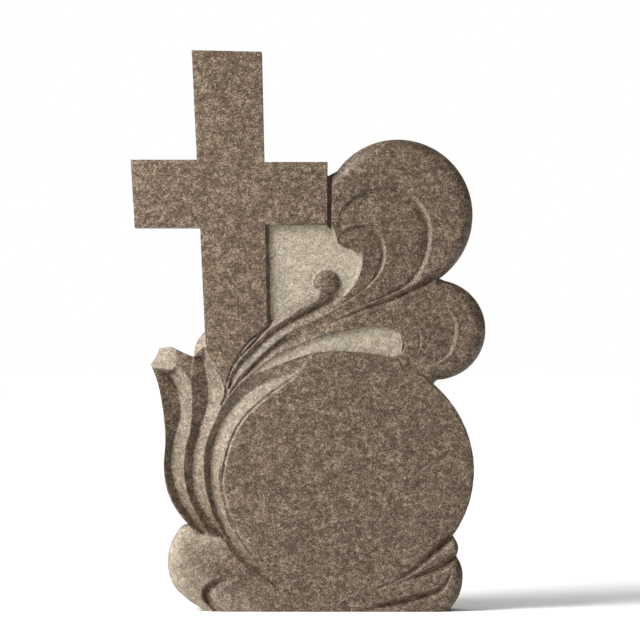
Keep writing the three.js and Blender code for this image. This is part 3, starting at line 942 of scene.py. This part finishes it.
def rear_outline(loop, chamfer):
    """The outline of the sawn back, and a wide grid of points on it."""
    rear = loop + sideways(loop, closed=True) * chamfer
    rear[:, 1] = np.maximum(rear[:, 1], REAR_FOOT)
    grid = np.arange(-1, 1, REAR_SPACING)
    field = np.stack([g.ravel() for g in np.meshgrid(grid, grid + 1)], 1) * HEIGHT
    return rear, field[inside(rear, field) > REAR_MARGIN]


def joined(rim, field):
    """Points and triangles that join a rim to a field inside it, and the rim's places among the points."""
    points = [Vector(point) for point in rim.tolist()] + [Vector(point) for point in field]
    outline = list(range(len(rim)))
    places, _edges, faces, sources = geometry.delaunay_2d_cdt(points, [], [outline], 1, 1e-5)[:4]
    found = {source: i for i, each in enumerate(sources) for source in each}
    return np.array([tuple(place) for place in places]), faces, [found[i] for i in outline]


def wall_faces(rows):
    """The triangles between closed rows of vertices."""
    for one, other in zip(rows, rows[1:]):
        for i in range(len(one)):
            j = (i + 1) % len(one)
            yield from ((one[i], other[i], other[j]), (one[i], other[j], one[j]))


def stone_mesh(name, relief, settings):
    """The whole slab as one closed mesh, with its finish, its painted highlights and shade, and its arrises
    as attributes.
    """
    loop = silhouette(relief)
    rim, wall = rim_and_wall(relief, loop)
    field = face_points(relief, rim, settings.fine_step / MM, settings.plain_step / MM)
    places, front_faces, front_rim = joined(rim, field)
    depth, finish = relief.soft_depth(places)

    mesh = bmesh.new()
    # Each point's finish, which also holds the painted highlights, sheen and shade
    frost_and_painted_light = mesh.verts.layers.float.new("frost_and_painted_light")

    def vertices(places, depths, finishes):
        """Adds a vertex at each place of the drawing."""
        made = []
        depths, finishes = (np.broadcast_to(each, len(places)).tolist() for each in (depths, finishes))
        for (x, z), deep, shine in zip(places.tolist(), depths, finishes):
            made.append(mesh.verts.new((x * MM, (deep - THICKNESS / 2) * MM, z * MM)))
            made[-1][frost_and_painted_light] = shine
        return made

    front = vertices(places, depth, finish)
    faces = [tuple(front[i] for i in face) for face in front_faces]
    rows = [[front[i] for i in front_rim]]
    back = THICKNESS - settings.back_chamfer / MM
    for part in WALL_ROWS:
        rows.append(vertices(loop, wall + (back - wall) * part, POLISHED))
    rear_places, rear_faces, rear_rim = joined(*rear_outline(loop, THICKNESS - back))
    rear = vertices(rear_places, THICKNESS, SAWN)
    rows.append([rear[i] for i in rear_rim])
    faces += [tuple(rear[i] for i in reversed(face)) for face in rear_faces]
    faces += wall_faces(rows)
    for face in faces:
        if len(set(face)) == 3:
            mesh.faces.new(face)
    clean(mesh)
    mark_arrises(mesh)
    data = bpy.data.meshes.new(name)
    mesh.to_mesh(data)
    mesh.free()
    hold_inside_box(data)
    data.shade_smooth()
    data.set_sharp_from_angle(angle=math.radians(SHARP_ANGLE))
    return data


def clean(mesh):
    """Takes out what has no size, turns every face outward, and stops where the mesh isn't closed."""
    bmesh.ops.dissolve_degenerate(mesh, dist=1e-7, edges=mesh.edges)
    bmesh.ops.triangulate(mesh, faces=[face for face in mesh.faces if len(face.verts) > 3])
    bmesh.ops.recalc_face_normals(mesh, faces=mesh.faces)
    loose = [point for point in mesh.verts if not point.link_faces]
    bmesh.ops.delete(mesh, geom=loose, context="VERTS")
    gaps = sum(1 for edge in mesh.edges if len(edge.link_faces) != 2)
    if gaps:
        raise RuntimeError(f"the stone isn't closed: {gaps} open edges")


def mark_arrises(mesh):
    """Marks how much each point of the front stands out from its neighbours."""
    arris = mesh.verts.layers.float.new("arris")
    for point in mesh.verts:
        around = [edge.other_vert(point).co.y for edge in point.link_edges]
        proud = sum(around) / len(around) - point.co.y
        point[arris] = min(max(proud / (PROUD * MM), 0), 1) if point.co.z > CHIPS_ABOVE * MM else 0


def hold_inside_box(data):
    """Keeps every point inside the surveyed box of the slab."""
    places = np.zeros(len(data.vertices) * 3)
    data.vertices.foreach_get("co", places)
    places = np.clip(places.reshape(-1, 3), np.array(CAD_LOW), np.array(CAD_HIGH))
    data.vertices.foreach_set("co", places.ravel())
    data.update()


class Number:
    """A socket in a node tree that Python's operators work on."""

    def __init__(self, board, socket):
        self.board = board
        self.socket = socket

    def maths(self, operation, *terms):
        """A Math node on the terms, of which one may be this number."""
        return self.board.number("ShaderNodeMath", {"operation": operation}, dict(enumerate(terms)))

    def __add__(self, other):
        return self.maths("ADD", self, other)

    def __radd__(self, other):
        return self.maths("ADD", other, self)

    def __sub__(self, other):
        return self.maths("SUBTRACT", self, other)

    def __rsub__(self, other):
        return self.maths("SUBTRACT", other, self)

    def __mul__(self, other):
        return self.maths("MULTIPLY", self, other)


class Board:
    """A node tree that nodes are added to."""

    def __init__(self, tree):
        self.tree = tree

    def node(self, kind, settings=None, sockets=None):
        """Adds a node, with its settings first and then the values or links of its sockets."""
        made = self.tree.nodes.new(kind)
        for name, value in (settings or {}).items():
            if name == "stops":
                self.set_stops(made.color_ramp, value)
            else:
                setattr(made, name, value)
        for key, value in (sockets or {}).items():
            value = value.socket if isinstance(value, Number) else value
            if isinstance(value, bpy.types.NodeSocket):
                self.tree.links.new(value, made.inputs[key])
            else:
                made.inputs[key].default_value = value
        return made

    def set_stops(self, ramp, stops):
        """Gives a ramp its stops, each a place and a colour."""
        while len(ramp.elements) > 1:
            ramp.elements.remove(ramp.elements[-1])
        for i, (place, colour) in enumerate(stops):
            element = ramp.elements[0] if i == 0 else ramp.elements.new(place)
            element.position = place
            element.color = (*colour, 1.0)

    def number(self, kind, settings=None, sockets=None, output=0):
        """Adds a node and gives one of its outputs as a number."""
        return Number(self, self.node(kind, settings, sockets).outputs[output])

    def mix(self, factor, one, other):
        """A colour between two."""
        return self.node("ShaderNodeMix", {"data_type": "RGBA"}, {0: factor, 6: one, 7: other}).outputs[2]


def linear(colour):
    """A display colour as linear light."""
    return tuple(c / 12.92 if c <= 0.04045 else ((c + 0.055) / 1.055) ** 2.4 for c in colour)


def granite_material(settings):
    """Warm brown granite: crystals of several minerals, polished, or frosted where it is cut rough; the same
    mix also paints highlights and shade.
    """
    material = bpy.data.materials.new("granite")
    material.use_nodes = True
    material.node_tree.nodes.clear()
    board = Board(material.node_tree)
    place = board.node("ShaderNodeTexCoord").outputs["Object"]
    frost_and_painted_light = board.number("ShaderNodeAttribute", {"attribute_name": "frost_and_painted_light"}, output=2)
    grain = settings.grain_size

    def noise(vector, scale, detail, output=0):
        """A soft random number or colour that changes from place to place."""
        sockets = {"Vector": vector, "Scale": scale, "Detail": detail}
        return board.number("ShaderNodeTexNoise", None, sockets, output)

    wander = noise(place, WANDER_SCALE / grain, 2.0, output=1)
    shifted = board.node("ShaderNodeVectorMath", {"operation": "MULTIPLY_ADD"},
                         {0: wander, 1: (grain * WANDER,) * 3, 2: place}).outputs[0]

    def crystals(size):
        """A random number for each crystal of a size."""
        cells = board.node("ShaderNodeTexVoronoi", {"feature": "F1"}, {"Vector": shifted, "Scale": 1 / size})
        return board.number("ShaderNodeSeparateColor", None, {0: cells.outputs["Color"]})

    speck = noise(place, SPECK_SCALE / grain, 3.0)
    cloud = noise(place, CLOUD_SCALE, 2.0)
    cluster = noise(shifted, CLUSTER_SCALE / grain, 1.0)
    large, middling, small = (
        crystals(grain * size) * weight for size, weight in zip(CRYSTAL_SIZES, CRYSTAL_WEIGHTS))
    tone = large + middling + small + speck * SPECK_WEIGHT + cluster * CLUSTER_WEIGHT
    tone = (tone - MIDDLE_TONE) * settings.contrast + (cloud - MIDDLE_TONE) * CLOUD_WEIGHT + MIDDLE_TONE

    colours = (settings.dark, settings.brown, settings.warm, settings.pale, settings.light)
    stops = list(zip(TONES, (linear(colour) for colour in colours)))
    polished = board.node("ShaderNodeValToRGB", {"stops": stops}, {0: tone}).outputs[0]
    rough = board.mix(tone, (*linear(settings.frosted_dark), 1.0), (*linear(settings.frosted_light), 1.0))
    frosted = board.mix(settings.frost_cover, polished, rough)
    # The finish attribute picks the frosted colour; where it holds painted light, this paints lit facets
    # paler as highlight and the leaf end's turned part darker as shade
    colour = board.mix(frost_and_painted_light, polished, frosted)

    roughening = settings.frosted_roughness - settings.polished_roughness
    roughness = settings.polished_roughness + frost_and_painted_light * roughening + (speck - MIDDLE_TONE) * ROUGHNESS_SPREAD
    pits = noise(place, PIT_SCALE / grain, 4.0)
    height = tone * CRYSTAL_HEIGHT + pits * frost_and_painted_light * PIT_HEIGHT
    bump = board.node("ShaderNodeBump", None,
                      {"Strength": BUMP_STRENGTH, "Distance": 1.0, "Height": height}).outputs[0]
    shader = board.node("ShaderNodeBsdfPrincipled", None,
                        {"Base Color": colour, "Roughness": roughness, "Normal": bump,
                         "Specular IOR Level": settings.gloss})
    board.node("ShaderNodeOutputMaterial", None, {0: shader.outputs[0]})
    return material


def wear_tree(material):
    """A node tree that pecks the frosted stone and the facets painted paler as highlights, and chips the
    arrises, always into the stone.
    """
    tree = bpy.data.node_groups.new("stone_wear", "GeometryNodeTree")
    face = tree.interface
    face.new_socket("Geometry", in_out="OUTPUT", socket_type="NodeSocketGeometry")
    face.new_socket("Geometry", in_out="INPUT", socket_type="NodeSocketGeometry")
    for name in ("Peck Depth", "Peck Size", "Chip Depth", "Chip Size"):
        face.new_socket(name, in_out="INPUT", socket_type="NodeSocketFloat")
    face.new_socket("Seed", in_out="INPUT", socket_type="NodeSocketInt")
    board = Board(tree)
    given = board.node("NodeGroupInput").outputs
    place = board.node("GeometryNodeInputPosition").outputs[0]
    normal = board.node("GeometryNodeInputNormal").outputs[0]
    frost_and_painted_light = board.number("GeometryNodeInputNamedAttribute", {"data_type": "FLOAT"}, {"Name": "frost_and_painted_light"})
    arris = board.number("GeometryNodeInputNamedAttribute", {"data_type": "FLOAT"}, {"Name": "arris"})
    seed = Number(board, given["Seed"])

    def rough(size, detail):
        """A field of noise of a size."""
        scale = Number(board, size)
        scale = scale.maths("DIVIDE", 1.0, scale)
        return board.number("ShaderNodeTexNoise", {"noise_dimensions": "4D"},
                            {"Vector": place, "W": seed, "Scale": scale, "Detail": detail})

    peck = frost_and_painted_light * rough(given["Peck Size"], 2.0) * Number(board, given["Peck Depth"])
    chip = rough(given["Chip Size"], 3.0) - CHIP_START
    chip = chip.maths("MAXIMUM", chip, 0.0) * CHIP_GAIN * arris * Number(board, given["Chip Depth"])
    amount = (peck + chip) * -1.0
    shift = board.node("ShaderNodeVectorMath", {"operation": "SCALE"},
                       {0: normal, "Scale": amount}).outputs[0]
    moved = board.node("GeometryNodeSetPosition", None, {"Geometry": given["Geometry"], "Offset": shift})
    real = board.node("GeometryNodeRealizeInstances", None, {0: moved.outputs[0]})
    dressed = board.node("GeometryNodeSetMaterial", None, {"Geometry": real.outputs[0], "Material": material})
    board.node("NodeGroupOutput", None, {0: dressed.outputs[0]})
    return tree


def apply_tree(piece, tree, values):
    """Runs a node tree on a piece and keeps the result as its plain mesh."""
    modifier = piece.modifiers.new(tree.name, "NODES")
    modifier.node_group = tree
    for item in tree.interface.items_tree:
        if item.item_type == "SOCKET" and item.in_out == "INPUT" and item.name in values:
            modifier[item.identifier] = values[item.name]
    graph = bpy.context.evaluated_depsgraph_get()
    result = bpy.data.meshes.new_from_object(piece.evaluated_get(graph), depsgraph=graph)
    piece.modifiers.remove(modifier)
    piece.data = result


class StoneSettings(bpy.types.PropertyGroup):
    """Sizes of the stone's surface."""

    arris_radius: FloatProperty(
        name="Arris Radius", description="How round the carved arrises are worn",
        default=0.8 * MM, unit="LENGTH")
    fine_step: FloatProperty(
        name="Fine Step", description="Distance of points where the stone is carved",
        default=3.0 * MM, unit="LENGTH")
    plain_step: FloatProperty(
        name="Plain Step", description="Distance of points where it is flat", default=9.0 * MM, unit="LENGTH")
    back_chamfer: FloatProperty(
        name="Back Chamfer", description="Chamfer round the sawn back", default=1.2 * MM, unit="LENGTH")
    peck_depth: FloatProperty(
        name="Peck Depth", description="Depth of the pecking on frosted stone",
        default=0.9 * MM, unit="LENGTH")
    peck_size: FloatProperty(
        name="Peck Size", description="Width of a peck", default=6.0 * MM, unit="LENGTH")
    chip_depth: FloatProperty(
        name="Chip Depth", description="Depth of the chips on arrises", default=0.9 * MM, unit="LENGTH")
    chip_size: FloatProperty(
        name="Chip Size", description="Width of a chip", default=11.0 * MM, unit="LENGTH")
    seed: IntProperty(name="Seed", description="Start of the random pecking and chipping", default=7)


class GraniteSettings(bpy.types.PropertyGroup):
    """Colours and gloss of the granite."""

    grain_size: FloatProperty(
        name="Grain Size", description="Width of the larger crystals", default=6.0 * MM, unit="LENGTH")
    dark: FloatVectorProperty(
        name="Dark", description="Dark mica", default=(0.18, 0.135, 0.09), subtype="COLOR_GAMMA")
    brown: FloatVectorProperty(
        name="Brown", description="Brown ground mass", default=(0.25, 0.194, 0.143), subtype="COLOR_GAMMA")
    warm: FloatVectorProperty(
        name="Warm", description="Warm grey feldspar", default=(0.303, 0.244, 0.188), subtype="COLOR_GAMMA")
    pale: FloatVectorProperty(
        name="Pale", description="Pale pinkish feldspar",
        default=(0.378, 0.317, 0.255), subtype="COLOR_GAMMA")
    light: FloatVectorProperty(
        name="Light", description="Light quartz", default=(0.5, 0.443, 0.378), subtype="COLOR_GAMMA")
    contrast: FloatProperty(
        name="Contrast", description="How much the crystals differ", default=1.3)
    frosted_dark: FloatVectorProperty(
        name="Frosted Dark", description="Dark crystals cut rough",
        default=(0.37, 0.338, 0.288), subtype="COLOR_GAMMA")
    frosted_light: FloatVectorProperty(
        name="Frosted Light", description="Light crystals cut rough", default=(0.73, 0.685, 0.61),
        subtype="COLOR_GAMMA")
    frost_cover: FloatProperty(
        name="Frost Cover", description="How much frosting hides the crystals", default=0.8, subtype="FACTOR")
    polished_roughness: FloatProperty(
        name="Polished Roughness", description="Roughness of polished stone", default=0.5, subtype="FACTOR")
    frosted_roughness: FloatProperty(
        name="Frosted Roughness", description="Roughness of frosted stone", default=0.85, subtype="FACTOR")
    gloss: FloatProperty(name="Gloss", description="Strength of the polish", default=0.35, subtype="FACTOR")


class StudioSettings(bpy.types.PropertyGroup):
    """The camera, the lights and the floor."""

    distance: FloatProperty(
        name="Distance", description="Camera to the front of the stone", default=8.0, unit="LENGTH")
    frame_width: FloatProperty(
        name="Frame Width", description="What the picture takes in at the stone",
        default=1.2527, unit="LENGTH")
    across: FloatProperty(
        name="Across", description="Middle of the picture, to the right", default=0.0230, unit="LENGTH")
    level: FloatProperty(
        name="Level", description="Middle of the picture, above the floor", default=0.5715, unit="LENGTH")
    key_strength: FloatProperty(
        name="Key", description="Strength of the light from the upper left", default=2.6)
    key_softness: FloatProperty(
        name="Key Softness", description="How broad that light looks",
        default=math.radians(24), subtype="ANGLE")
    softbox: FloatProperty(
        name="Softbox", description="Power of the near light at the left", default=29.0, unit="POWER")
    surround: FloatProperty(
        name="Surround", description="Strength of the light from all round", default=0.57)
    lean: FloatProperty(
        name="Lean", description="How much brighter the left side of the room is",
        default=0.95, subtype="FACTOR")
    background: FloatProperty(
        name="Background", description="Brightness of the background", default=1.0)
    floor_size: FloatProperty(name="Floor", description="Side of the floor", default=80.0, unit="LENGTH")


class MONUMENT_OT_stele(bpy.types.Operator):
    """Carves the granite slab"""

    bl_idname = "monument.stele"
    bl_label = "Carve the Slab"

    def execute(self, context):
        stone = context.scene.monument_stone
        relief = Relief(stone.arris_radius / MM)
        piece = bpy.data.objects.new("carved_stele", stone_mesh("carved_stele", relief, stone))
        context.scene.collection.objects.link(piece)
        material = granite_material(context.scene.monument_granite)
        apply_tree(piece, wear_tree(material), {
            "Peck Depth": stone.peck_depth,
            "Peck Size": stone.peck_size,
            "Chip Depth": stone.chip_depth,
            "Chip Size": stone.chip_size,
            "Seed": stone.seed,
        })
        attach(piece, "root")
        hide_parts("stele")
        return {"FINISHED"}


class MONUMENT_OT_studio(bpy.types.Operator):
    """Sets up the pale floor, the soft lights and the camera"""

    bl_idname = "monument.studio"
    bl_label = "Set Up the Studio"

    def execute(self, context):
        studio = context.scene.monument_studio
        self.lay_floor(context, studio)
        self.light(context, studio)
        self.brighten_room(context, studio)
        self.place_camera(context, studio)
        return {"FINISHED"}

    def lay_floor(self, context, studio):
        """A plain pale floor that runs far past the view."""
        half = studio.floor_size / 2
        data = bpy.data.meshes.new("floor")
        corners = [(-half, -half, 0), (half, -half, 0), (half, half, 0), (-half, half, 0)]
        data.from_pydata(corners, [], [(0, 1, 2, 3)])
        floor = bpy.data.objects.new("floor", data)
        context.scene.collection.objects.link(floor)
        material = bpy.data.materials.new("floor")
        material.use_nodes = True
        shader = material.node_tree.nodes["Principled BSDF"]
        shader.inputs["Base Color"].default_value = FLOOR_COLOUR
        shader.inputs["Roughness"].default_value = FLOOR_ROUGHNESS
        shader.inputs["Specular IOR Level"].default_value = FLOOR_GLOSS
        data.materials.append(material)

    def light(self, context, studio):
        """A soft light from the upper left, and a softbox near the stone."""
        data = bpy.data.lights.new("key", "SUN")
        data.energy = studio.key_strength
        data.angle = studio.key_softness
        lamp = bpy.data.objects.new("key", data)
        lamp.rotation_euler = Vector(KEY_SIDE).to_track_quat("Z", "Y").to_euler()
        context.scene.collection.objects.link(lamp)
        near = bpy.data.lights.new("softbox", "AREA")
        near.energy = studio.softbox
        near.size = SOFTBOX_SIZE
        box = bpy.data.objects.new("softbox", near)
        box.location = SOFTBOX_PLACE
        box.rotation_euler = (Vector(SOFTBOX_PLACE) - Vector(SOFTBOX_AIM)).to_track_quat("Z", "Y").to_euler()
        box.visible_camera = False
        context.scene.collection.objects.link(box)

    def brighten_room(self, context, studio):
        """A weaker light from all round, brighter at the left, in front of a plain background."""
        world = bpy.data.worlds.new("surround")
        world.use_nodes = True
        world.node_tree.nodes.clear()
        board = Board(world.node_tree)
        seen = board.number("ShaderNodeLightPath")
        ray = board.node("ShaderNodeTexCoord").outputs["Generated"]
        across = board.number("ShaderNodeSeparateXYZ", None, {0: ray})
        glow = (1.0 - across * studio.lean) * studio.surround
        strength = glow + seen * (studio.background - glow)
        shade = board.node("ShaderNodeBackground", None,
                           {"Color": (1.0, 1.0, 1.0, 1.0), "Strength": strength})
        board.node("ShaderNodeOutputWorld", None, {0: shade.outputs[0]})
        context.scene.world = world
        context.scene.view_settings.view_transform = "Standard"

    def place_camera(self, context, studio):
        """A long lens, square on to the stone."""
        data = bpy.data.cameras.new("camera")
        data.lens = data.sensor_width * studio.distance / studio.frame_width
        camera = bpy.data.objects.new("camera", data)
        camera.location = (studio.across, CAD_LOW.y - studio.distance, studio.level)
        camera.rotation_euler = (math.pi / 2, 0, 0)
        context.scene.collection.objects.link(camera)
        context.scene.camera = camera


class MONUMENT_PT_panel(bpy.types.Panel):
    """Lists the steps that make the monument"""

    bl_idname = "MONUMENT_PT_panel"
    bl_label = "Grave Monument"
    bl_space_type = "VIEW_3D"
    bl_region_type = "UI"
    bl_category = "Monument"

    def draw(self, context):
        scene = context.scene
        for settings in (scene.monument_stone, scene.monument_granite, scene.monument_studio):
            box = self.layout.box()
            for name in settings.__annotations__:
                box.prop(settings, name)
        self.layout.operator(MONUMENT_OT_studio.bl_idname)
        self.layout.operator(MONUMENT_OT_stele.bl_idname)


CLASSES = (
    StoneSettings, GraniteSettings, StudioSettings,
    MONUMENT_OT_stele, MONUMENT_OT_studio, MONUMENT_PT_panel,
)


def register():
    """Registers the classes and gives the scene its settings."""
    for each in CLASSES:
        bpy.utils.register_class(each)
    bpy.types.Scene.monument_stone = PointerProperty(type=StoneSettings)
    bpy.types.Scene.monument_granite = PointerProperty(type=GraniteSettings)
    bpy.types.Scene.monument_studio = PointerProperty(type=StudioSettings)


def unregister():
    """Takes the settings and the classes away again."""
    del bpy.types.Scene.monument_studio
    del bpy.types.Scene.monument_granite
    del bpy.types.Scene.monument_stone
    for each in reversed(CLASSES):
        bpy.utils.unregister_class(each)


def main():
    """Makes the monument."""
    register()
    bpy.ops.monument.studio()
    bpy.ops.monument.stele()


if __name__ == "__main__":
    main()
